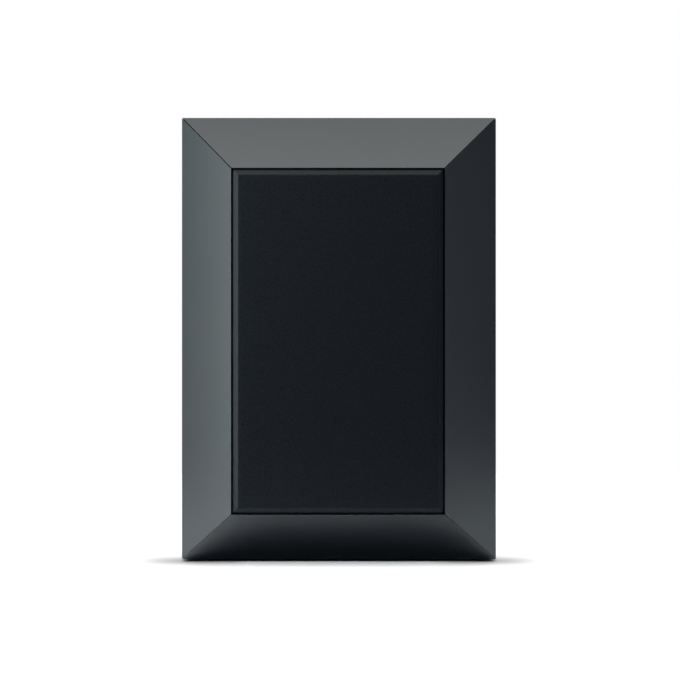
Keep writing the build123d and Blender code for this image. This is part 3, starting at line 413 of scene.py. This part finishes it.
def wound_copper(name, pitch, axis):
    """Enamelled copper wire, turn beside turn along an axis."""
    finish = Finish(name, Metallic=0.9, Coat_Weight=0.4)
    turns = finish.axes()[axis].wave(pitch) * 0.5 + 0.5
    tarnish = finish.noise(0.006)
    tone = turns * 0.7 + tarnish * 0.3
    finish.feed(
        Base_Color=finish.tint(tone, (0.38, 0.13, 0.05), (0.78, 0.36, 0.17)),
        Roughness=0.28 + 0.12 * tarnish,
        Normal=finish.bump(turns, depth=0.00020),
    )
    return finish.material


def ferrite():
    """Pressed and sintered magnet, dark and dusty, with small chips."""
    finish = Finish("ferrite", IOR=1.7)
    dust = finish.noise(0.002, detail=5.0, roughness=0.65)
    chips = finish.ramp(finish.cells(0.006), 0.10, 0.16)
    finish.feed(
        Base_Color=finish.tint(dust, (0.030, 0.030, 0.033), (0.075, 0.075, 0.080)),
        Roughness=0.62 + 0.2 * dust,
        Normal=finish.bump(chips + 0.3 * dust, depth=0.00012),
    )
    return finish.material


def open_foam():
    """Open-cell foam."""
    finish = Finish("open_foam", IOR=1.35)
    pores = finish.cells(0.0014)
    finish.feed(
        Base_Color=finish.tint(pores, (0.035, 0.035, 0.038), (0.11, 0.11, 0.115)),
        Roughness=0.95 - 0.05 * pores,
        Normal=finish.bump(pores, depth=0.0006),
    )
    return finish.material


def board_laminate():
    """Solder mask over glass cloth."""
    finish = Finish("board_laminate", IOR=1.5, Coat_Weight=0.3)
    x, y, _ = finish.axes()
    cloth = crossing(x, y, LAMINATE_YARN)
    copper = finish.ramp(finish.noise(0.014, detail=1.0), 0.47, 0.53)
    tone = copper * 0.8 + cloth * 0.2
    finish.feed(
        Base_Color=finish.tint(tone, (0.012, 0.075, 0.030), (0.045, 0.16, 0.065)),
        Roughness=0.34 + 0.1 * cloth,
        Normal=finish.bump(copper, depth=0.00004),
    )
    return finish.material


def studio_paper(name, colour):
    """Seamless background paper."""
    finish = Finish(name, IOR=1.3, Specular_IOR_Level=0.1)
    mottle = finish.noise(0.5, detail=2.0)
    finish.feed(
        Base_Color=finish.tint(mottle, dimmed(colour, 0.97), colour),
        Roughness=0.85 + 0.05 * mottle,
    )
    return finish.material


def paper_with_painted_shadows(name, albedo, painted_shadow_albedo, toe, blur):
    """Background paper with painted shadows: darker within a blur at a toe's (x, y) and at its mirror
    image.
    """
    finish = Finish(name, IOR=1.3, Specular_IOR_Level=0.1, Roughness=0.87)
    x, y, _ = finish.axes()
    # Painted shadow: the paper's colour darkens towards each front toe
    beside = finish.ramp((x.size() - toe[0]).size(), blur[0], 0.0).root()
    before = finish.ramp((y - toe[1]).size(), blur[1], 0.0)
    finish.feed(Base_Color=finish.tint(beside * before, (albedo,) * 3, (painted_shadow_albedo,) * 3))
    return finish.material


weave = grille_weave()
silk = plain_weave("coated_silk", (0.008, 0.008, 0.009), (0.020, 0.020, 0.022), SILK_YARN, 0.55)
surround_rubber = rubber("surround_rubber", (0.010, 0.010, 0.011), 0.44)
spider_cloth = plain_weave("spider_cloth", (0.40, 0.25, 0.07), (0.62, 0.43, 0.16), SPIDER_YARN, 0.82)
tinsel = metal("tinsel", (0.52, 0.25, 0.12), (0.80, 0.46, 0.26), 0.34)
foam = open_foam()

finish_of = {
    "baffle_board": baffle_paint(),
    "cross_brace": bare_board(),
    "grille_frame": moulded_plastic("grille_moulding", (0.016, 0.016, 0.017), 0.56),
    "rubber_feet": rubber("foot_rubber", (0.012, 0.012, 0.012), 0.66),
    "driver_gaskets": rubber("gasket_rubber", (0.018, 0.018, 0.018), 0.80),
    "rear_inserts": metal("insert_brass", (0.55, 0.37, 0.13), (0.72, 0.52, 0.22), 0.26, (1, 20, 1)),
    "woofer_cone": pressed_pulp("cone_pulp", (0.016, 0.016, 0.017), (0.040, 0.040, 0.042), 0.62),
    "woofer_dust_cap": pressed_pulp("cap_pulp", (0.009, 0.009, 0.010), (0.018, 0.018, 0.020), 0.40),
    "voice_coil_former": metal("former_foil", (0.66, 0.66, 0.68), (0.82, 0.82, 0.84), 0.22, (1, 20, 1)),
    "woofer_strip": moulded_plastic("fibre_strip", (0.20, 0.10, 0.045), 0.60),
    "solder_tags": metal("tinned_brass", (0.58, 0.55, 0.46), (0.72, 0.70, 0.62), 0.30),
    "panel_screws": metal("black_screw", (0.020, 0.020, 0.021), (0.045, 0.045, 0.047), 0.36),
    "tweeter_dome": silk,
    "terminal_nuts": metal("nut_steel", (0.50, 0.50, 0.49), (0.66, 0.66, 0.65), 0.24, (1, 12, 1)),
    "red_knob": moulded_plastic("red_knob", (0.42, 0.010, 0.012), 0.24),
    "black_knob": moulded_plastic("black_knob", (0.013, 0.013, 0.014), 0.24),
    "crossover_board": board_laminate(),
    "crossover_screws": metal("screw_zinc", (0.56, 0.56, 0.54), (0.70, 0.70, 0.68), 0.26, (1, 1, 12)),
    "crossover_capacitors": moulded_plastic("film_wrap", (0.62, 0.42, 0.05), 0.30),
    "crossover_resistors": pressed_pulp("cement", (0.52, 0.50, 0.45), (0.72, 0.70, 0.65), 0.78),
    "inductor_windings": wound_copper("copper_upright", INDUCTOR_WIRE, axis=2),
    "internal_leads": rubber("lead_insulation", (0.020, 0.020, 0.022), 0.40),
}

lacquer = satin_lacquer("satin_lacquer")
# The rails' lacquer, with painted shade in its upper mitre joints
rail_lacquer = satin_lacquer("rail_lacquer", paint_joint_shade=True)
motor_steel = metal("motor_steel", (0.34, 0.34, 0.33), (0.52, 0.52, 0.50), 0.34)
gold_brass = metal("gold_brass", (0.72, 0.46, 0.15), (0.86, 0.60, 0.24), 0.16, (1, 30, 1))
nickel = metal("magnet_nickel", (0.56, 0.55, 0.52), (0.70, 0.69, 0.66), 0.16)
black_moulding = moulded_plastic("black_moulding", (0.018, 0.018, 0.019), 0.48)
nylon = moulded_plastic("white_nylon", (0.68, 0.66, 0.60), 0.46)

shared_finishes = (
    (rail_lacquer, [f"front_rail_{side}" for side in SIDES]),
    (lacquer, [f"{side}_panel" for side in (*SIDES, "rear")]),
    (cast_coating(), ("woofer_basket", "tweeter_faceplate")),
    (wound_copper("copper_coil", COIL_WIRE, axis=1), ("voice_coil_winding", "tweeter_voice_coil")),
    (ferrite(), ("woofer_magnet", "tweeter_magnet")),
    (motor_steel, ("woofer_front_plate", "woofer_yoke", "tweeter_front_plate", "tweeter_yoke")),
    (gold_brass, ("red_post", "black_post", "red_washer", "black_washer")),
    (nickel, ("grille_magnets", "baffle_magnets")),
    (black_moulding, ("tweeter_rear_chamber", "port_tube", "terminal_cup")),
    (nylon, ("crossover_standoffs", "inductor_bobbins")),
)
for material, names in shared_finishes:
    finish_of.update(dict.fromkeys(names, material))

for name, material in finish_of.items():
    for slot in nodes[name].material_slots:
        slot.material = material


# Edges of the solid pieces


def weld(piece):
    """Joins the points of a solid's skin that coincide."""
    piece.modifiers.new("weld", "WELD").merge_threshold = WELD


def ease(piece):
    """Rounds a solid's sharp edges a little, as paint and moulding leave them."""
    weld(piece)
    flats = piece.modifiers.new("flats", "DECIMATE")
    flats.decimate_type = "DISSOLVE"
    flats.angle_limit = FLAT_EDGE
    edges = piece.modifiers.new("edges", "BEVEL")
    edges.width = EDGE_EASE
    edges.segments = EDGE_STEPS
    edges.limit_method = "ANGLE"
    edges.angle_limit = SHARP_EDGE
    edges.use_clamp_overlap = True
    weld(piece)
    piece.modifiers.new("shading", "WEIGHTED_NORMAL")


for side in (*SIDES, "rear"):
    ease(nodes[f"{side}_panel"])
for name in ("baffle_board", "terminal_cup"):
    ease(nodes[name])
for name in ("woofer_dust_cap", "tweeter_dome"):
    weld(nodes[name])


# Pieces of cloth, rubber, braid and foam, made in place of plain solids


def finished(name, shape, material, smooth=True):
    """An object from a bmesh, with its normals outwards."""
    bmesh.ops.recalc_face_normals(shape, faces=shape.faces)
    mesh = bpy.data.meshes.new(name)
    shape.to_mesh(mesh)
    shape.free()
    mesh.materials.append(material)
    mesh.polygons.foreach_set("use_smooth", [smooth] * len(mesh.polygons))
    made = bpy.data.objects.new(name, mesh)
    bpy.context.collection.objects.link(made)
    return made


def piece_from(name, vertices, faces, material, smooth=True):
    """An object from points and faces."""
    shape = bmesh.new()
    points = [shape.verts.new(place) for place in vertices]
    for face in faces:
        shape.faces.new([points[i] for i in face])
    return finished(name, shape, material, smooth)


def eased(points, radii, steps=5):
    """A line through (x, y) points whose inner corners are arcs of the given radii."""
    line = [Vector(points[0])]
    for before, corner, after, radius in zip(points, points[1:], points[2:], radii):
        corner = Vector(corner)
        back = (Vector(before) - corner).normalized()
        ahead = (Vector(after) - corner).normalized()
        half = back.angle(ahead) / 2
        centre = corner + (back + ahead).normalized() * radius / math.sin(half)
        reach = radius / math.tan(half)
        first, last = corner + back * reach - centre, corner + ahead * reach - centre
        line += [centre + radius * first.slerp(last, step / steps) for step in range(steps + 1)]
    return line + [Vector(points[-1])]


def rounded_loop(half_width, half_height, radius, steps=6):
    """Points of a rounded rectangle about the origin, in X and Z."""
    points = []
    for corner, (sx, sz) in enumerate(((1, 1), (-1, 1), (-1, -1), (1, -1))):
        for step in range(steps + 1):
            angle = math.radians(90 * corner + 90 * step / steps)
            x = sx * (half_width - radius) + radius * math.cos(angle)
            z = sz * (half_height - radius) + radius * math.sin(angle)
            points.append((x, z))
    return points


def stretched_cover():
    """The grille's cloth: pulled over the frame's chamfer and sides, and glued in behind."""
    low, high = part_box("grille_cloth")
    half_width = (high.x - low.x) / 2
    half_height = (high.z - low.z) / 2
    middle_z = (high.z + low.z) / 2
    front, back = low.y, high.y
    folds = (
        (COVER_RETURN, back),
        (-COVER_LOFT, back),
        (-COVER_LOFT, front + COVER_CHAMFER + COVER_LOFT),
        (COVER_CHAMFER, front),
        (COVER_FLAT, front),
    )
    section = eased(folds, (COVER_BACK_FOLD, COVER_SIDE_FOLD, COVER_FRONT_FOLD))
    vertices, faces = [], []
    for inset, depth in section:
        corner = max(COVER_CORNER - inset, COVER_FRONT_CORNER)
        loop = rounded_loop(half_width - inset, half_height - inset, corner)
        vertices += [(x, depth, middle_z + z) for x, z in loop]
    count = len(vertices) // len(section)
    for ring in range(len(section) - 1):
        for i in range(count):
            a, b = ring * count + i, ring * count + (i + 1) % count
            faces.append((a, b, b + count, a + count))
    faces.append(tuple(range((len(section) - 1) * count, len(section) * count)))
    cover = piece_from("grille_cover", vertices, faces, weave)
    thickness = cover.modifiers.new("thickness", "SOLIDIFY")
    thickness.thickness = COVER_SKIN
    thickness.offset = -1
    over_edge = back - front + (math.sqrt(2) - 2) * COVER_CHAMFER + COVER_RETURN
    flat = (2 * (half_width + over_edge), 2 * (half_height + over_edge))
    area = flat[0] * flat[1] - 4 * over_edge**2
    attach(cover, "grille")
    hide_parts("grille_cloth")


def turned_skin(name, line, skin, centre, material, segments=144):
    """A ring turned about a driver's axis from a line of (radius, depth) points, with a skin behind."""
    outline = list(line) + [(radius, depth + skin) for radius, depth in reversed(line)]
    vertices, faces = [], []
    count = len(outline)
    for step in range(segments):
        angle = 2 * math.pi * step / segments
        for radius, depth in outline:
            vertices.append((radius * math.cos(angle), depth, centre + radius * math.sin(angle)))
    for step in range(segments):
        for i in range(count):
            a = step * count + i
            b = step * count + (i + 1) % count
            ahead = count if step < segments - 1 else count - segments * count
            faces.append((a, b, b + ahead, a + ahead))
    return piece_from(name, vertices, faces, material)


def flex(piece, centre, held, free):
    """Bakes a ring's place into its points. Each point's share of the way from the held radius to the
    free radius is worked out but not stored, so the ring doesn't bend.
    """
    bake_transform(piece)
    for vertex in piece.data.vertices:
        radius = math.hypot(vertex.co.x, vertex.co.z - centre)
        share = min(max((radius - held) / (free - held), 0), 1)
        share * share * (3 - 2 * share)


def half_roll(name, node, material, lip, roll, skin, steps=24):
    """A half roll between an inner lip, which moves, and an outer one, which the cabinet holds."""
    low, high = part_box(node)
    centre = (low.z + high.z) / 2
    middle, half = (roll[0] + roll[1]) / 2, (roll[1] - roll[0]) / 2
    front = high.y - skin
    line = [(lip, front)]
    for step in range(steps + 1):
        angle = math.pi * step / steps
        line.append((middle - half * math.cos(angle), front - half * math.sin(angle)))
    line.append((high.x, front))
    ring = turned_skin(name, line, ROLL_SKIN_SHARE * skin, centre, material)
    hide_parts(node)
    flex(ring, centre, held=roll[1], free=roll[0])


def corrugated_spider(steps_per_wave=24):
    """Corrugated cloth between the coil's former and the basket's ledge."""
    low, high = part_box("woofer_spider")
    centre = (low.z + high.z) / 2
    middle = (low.y + high.y - SPIDER_SKIN) / 2
    first, last = SPIDER_WAVES
    steps = steps_per_wave * SPIDER_WAVE_COUNT
    line = [(SPIDER_NECK, middle)]
    for step in range(steps + 1):
        radius = first + (last - first) * step / steps
        turn = 2 * math.pi * SPIDER_WAVE_COUNT * step / steps
        line.append((radius, middle + SPIDER_WAVE_HEIGHT * math.sin(turn)))
    line.append((high.x, middle))
    ring = turned_skin("corrugated_spider", line, SPIDER_SKIN, centre, spider_cloth)
    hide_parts("woofer_spider")
    flex(ring, centre, held=last, free=first)


def round_wire(points, radius):
    """A mesh tube with closed ends along a smooth curve near the points."""
    route = bpy.data.curves.new("wire", "CURVE")
    route.dimensions = "3D"
    route.bevel_depth = radius
    route.bevel_resolution = 3
    route.use_fill_caps = True
    line = route.splines.new("NURBS")
    line.points.add(len(points) - 1)
    for point, place in zip(line.points, points):
        point.co = (*place, 1)
    line.order_u = 3
    line.use_endpoint_u = True
    curve = bpy.data.objects.new("wire", route)
    mesh = bpy.data.meshes.new_from_object(curve)
    bpy.data.objects.remove(curve)
    return mesh


def tinsel_braid():
    """Two slack braids from the terminal strip to the back of the cone."""
    low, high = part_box("tinsel_leads")
    near, far = low.x + BRAID_RADIUS, high.x - BRAID_RADIUS
    depth = (low.y + high.y) / 2
    both = bmesh.new()
    for z in (low.z + BRAID_RADIUS, high.z - BRAID_RADIUS):
        points = [(far, high.y, z)]
        points += [(far + way * (near - far), depth + back * BRAID_SLACK, z) for way, back in BRAID_ROUTE]
        points.append((near, low.y, z))
        mesh = round_wire(points, BRAID_RADIUS)
        both.from_mesh(mesh)
        bpy.data.meshes.remove(mesh)
    braid = finished("tinsel_braid", both, tinsel)
    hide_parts("tinsel_leads")
    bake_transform(braid)


def foam_lining(node, columns=72, rows=84):
    """Egg-crate foam on a side panel, flat where it is glued."""
    low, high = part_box(node)
    inward = -1 if low.x > 0 else 1
    glued = high.x if inward < 0 else low.x
    thickness = high.x - low.x
    turn = 2 * math.pi / FOAM_PITCH
    crests, backs, faces = [], [], []
    for row in range(rows + 1):
        for column in range(columns + 1):
            y = low.y + (high.y - low.y) * column / columns
            z = low.z + (high.z - low.z) * row / rows
            wave = math.cos((y - low.y) * turn) * math.cos((z - low.z) * turn)
            reach = thickness - FOAM_CLEARANCE - FOAM_WAVE * (1 - wave)
            crests.append((glued + inward * reach, y, z))
            backs.append((glued, y, z))
    across, count = columns + 1, len(crests)
    for row in range(rows):
        for column in range(columns):
            corner = row * across + column
            crest = (corner, corner + 1, corner + across + 1, corner + across)
            faces += [crest, tuple(count + i for i in reversed(crest))]
    lower, upper = range(columns), range(count - 1, count - across, -1)
    rear, front = range(columns, count - 1, across), range(count - across, 0, -across)
    rim = [*lower, *rear, *upper, *front]
    faces += [(b, a, count + a, count + b) for a, b in zip(rim, rim[1:] + rim[:1])]
    lining = piece_from(f"foam_{node}", crests + backs, faces, foam)
    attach(lining, "cabinet")
    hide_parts(node)


stretched_cover()
half_roll(
    "rubber_surround",
    node="woofer_surround",
    material=surround_rubber,
    lip=SURROUND_LIP,
    roll=SURROUND_ROLL,
    skin=SURROUND_SKIN,
)
half_roll(
    "dome_suspension",
    node="tweeter_suspension",
    material=silk,
    lip=DOME_LIP,
    roll=DOME_ROLL,
    skin=DOME_SKIN,
)
corrugated_spider()
tinsel_braid()
foam_lining("damping_pad_left")
foam_lining("damping_pad_right")


# Studio


def softbox(name, place, target, size, radiance, colour=(1, 1, 1)):
    """A rectangular light of a (width, height) that shows in reflections, as bright as its radiance."""
    lamp = bpy.data.lights.new(name, "AREA")
    lamp.shape = "RECTANGLE"
    lamp.size, lamp.size_y = size
    lamp.energy = radiance * math.pi * lamp.size * lamp.size_y
    lamp.color = colour
    made = bpy.data.objects.new(name, lamp)
    made.location = place
    made.rotation_euler = (Vector(target) - Vector(place)).to_track_quat("-Z", "Y").to_euler()
    bpy.context.collection.objects.link(made)
    return made


def overhead(name, place, size, radiance):
    """A white softbox that faces straight down."""
    x, y, _ = place
    return softbox(name, place, (x, y, 0), size, radiance)


def group(name, pieces):
    """A collection of pieces that lights are linked to."""
    made = bpy.data.collections.new(name)
    for piece in pieces:
        made.objects.link(piece)
    return made


def light_only(sheet, lamps, casters=()):
    """Lets lights fall on one sheet of paper only, shaded by the given pieces alone."""
    lit = group(sheet.name + "_lit", [sheet])
    shading = group(sheet.name + "_shading", casters) if casters else None
    for lamp in lamps:
        lamp.light_linking.receiver_collection = lit
        lamp.light_linking.blocker_collection = shading


def spare(pieces, lamps):
    """Keeps lights off some pieces."""
    spared = group("spared", pieces)
    for member in spared.collection_objects:
        member.light_linking.link_state = "EXCLUDE"
    for lamp in lamps:
        lamp.light_linking.receiver_collection = spared


def sheet_of_paper(name, low, high, height, material):
    """A flat sheet of paper between two (x, y) corners, which isn't part of the loudspeaker."""
    corners = ((low[0], low[1]), (high[0], low[1]), (high[0], high[1]), (low[0], high[1]))
    vertices = [(x, y, height) for x, y in corners]
    paper = piece_from(name, vertices, [(0, 1, 2, 3)], material, smooth=False)
    return paper


def white_ground():
    """Ground that the camera sees, under lights of its own: only the loudspeaker's foot shades it, and
    painted shadows darken the paper beside the two front toes.
    """
    _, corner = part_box("front_rail_bottom")
    toe = (corner.x - TOE_SHADOW_INSET[0], corner.y - TOE_SHADOW_INSET[1])
    # The paper carries painted shadows beside the toes
    painted_shadow_paper = paper_with_painted_shadows("white_paper", albedo=0.90, painted_shadow_albedo=0.40, toe=toe, blur=TOE_SHADOW_BLUR)
    near, far = (-PAPER_REACH, -PAPER_REACH), (PAPER_REACH, PAPER_REACH)
    paper = sheet_of_paper("white_ground", near, far, height=0.0, material=painted_shadow_paper)
    paper.visible_diffuse = False
    paper.visible_glossy = False
    front = overhead("front_wash", place=(0, -2.45, 2.4), size=(12.0, 2.4), radiance=6.3)
    rear = overhead("rear_wash", place=(0, 2.45, 2.4), size=(12.0, 2.4), radiance=1.2)
    foot = [nodes[name] for name in ("front_rail_bottom", "bottom_panel", "rubber_feet")]
    light_only(paper, (front, rear), foot)
    return paper


def bounce_ground():
    """A sheet just below, out of the camera's sight, that throws light back up."""
    grey = studio_paper("bounce_paper", (0.71, 0.765, 0.80))
    near, far = (-0.34, -0.18), (0.38, 1.0)
    paper = sheet_of_paper("bounce_ground", near, far, height=-BOUNCE_DROP, material=grey)
    paper.visible_camera = False
    wash = overhead("bounce_wash", place=(-0.3, -0.2, 2.4), size=(3.0, 3.0), radiance=5.5)
    pool = overhead("bounce_pool", place=(-0.40, -0.20, 0.6), size=(1.0, 0.28), radiance=13.0)
    right = overhead("right_pool", place=(0.22, 0.02, 0.12), size=(0.12, 0.2), radiance=3.4)
    left = overhead("left_pool", place=(-0.22, 0.02, 0.12), size=(0.12, 0.2), radiance=2.2)
    light_only(paper, (wash, pool, right, left))
    return paper


def softboxes():
    """A strip at the left and one above, with weaker ones at the right, behind and beside."""
    white, bounce = white_ground(), bounce_ground()
    left = softbox(
        "left_softbox",
        place=(-0.62, -0.33, 0.32),
        target=(0, -0.33, 0.32),
        size=(0.42, 1.2),
        radiance=10.0,
        colour=(0.87, 1.0, 1.0),
    )
    top = softbox(
        "top_softbox",
        place=(0.0, -0.28, 0.95),
        target=(0, -0.28, 0.30),
        size=(1.3, 0.64),
        radiance=3.8,
        colour=(0.94, 1.0, 0.97),
    )
    right = softbox(
        "right_card",
        place=(0.62, -0.26, 0.10),
        target=(0, -0.26, 0.10),
        size=(0.42, 0.6),
        radiance=0.65,
        colour=(0.80, 0.92, 1.0),
    )
    rear = softbox(
        "rear_softbox",
        place=(0.5, 1.3, 0.9),
        target=(0, 0.1, 0.16),
        size=(1.0, 0.8),
        radiance=2.0,
    )
    side = softbox(
        "side_softbox",
        place=(1.5, 0.75, 0.7),
        target=(0, 0, 0.16),
        size=(0.8, 1.0),
        radiance=1.6,
    )
    rails = [nodes[f"front_rail_{edge}"] for edge in SIDES]
    spare([white, bounce], [left])
    spare([white], [top, right, rear])
    spare([white, bounce, *rails], [side])


def surroundings():
    """A dim bluish room for the loudspeaker, and plain white behind it for the camera."""
    world = bpy.data.worlds.new("studio")
    world.use_nodes = True
    graph = Graph(world.node_tree)
    graph.tree.nodes.remove(graph.tree.nodes["Background"])
    room = graph.node("ShaderNodeBackground", inputs={"Color": (0.12, 0.145, 0.175)})
    backdrop = graph.node("ShaderNodeBackground", inputs={"Color": (1, 1, 1)})
    seen = graph.node("ShaderNodeLightPath", output="Is Camera Ray")
    chosen = graph.node("ShaderNodeMixShader", inputs={0: seen, 1: room, 2: backdrop})
    graph.fill(graph.tree.nodes["World Output"].inputs["Surface"], chosen)
    bpy.context.scene.world = world
    bpy.context.scene.view_settings.view_transform = "Standard"


def camera():
    """Level camera before the front, a little right of its middle and above half its height."""
    lens = bpy.data.cameras.new("camera")
    lens.sensor_width = CAMERA_SENSOR
    lens.lens = CAMERA_LENS
    lens.shift_x, lens.shift_y = CAMERA_SHIFT
    made = bpy.data.objects.new("camera", lens)
    made.location = CAMERA_PLACE
    made.rotation_euler = (math.radians(90), 0, 0)
    bpy.context.collection.objects.link(made)
    bpy.context.scene.camera = made


softboxes()
surroundings()
camera()
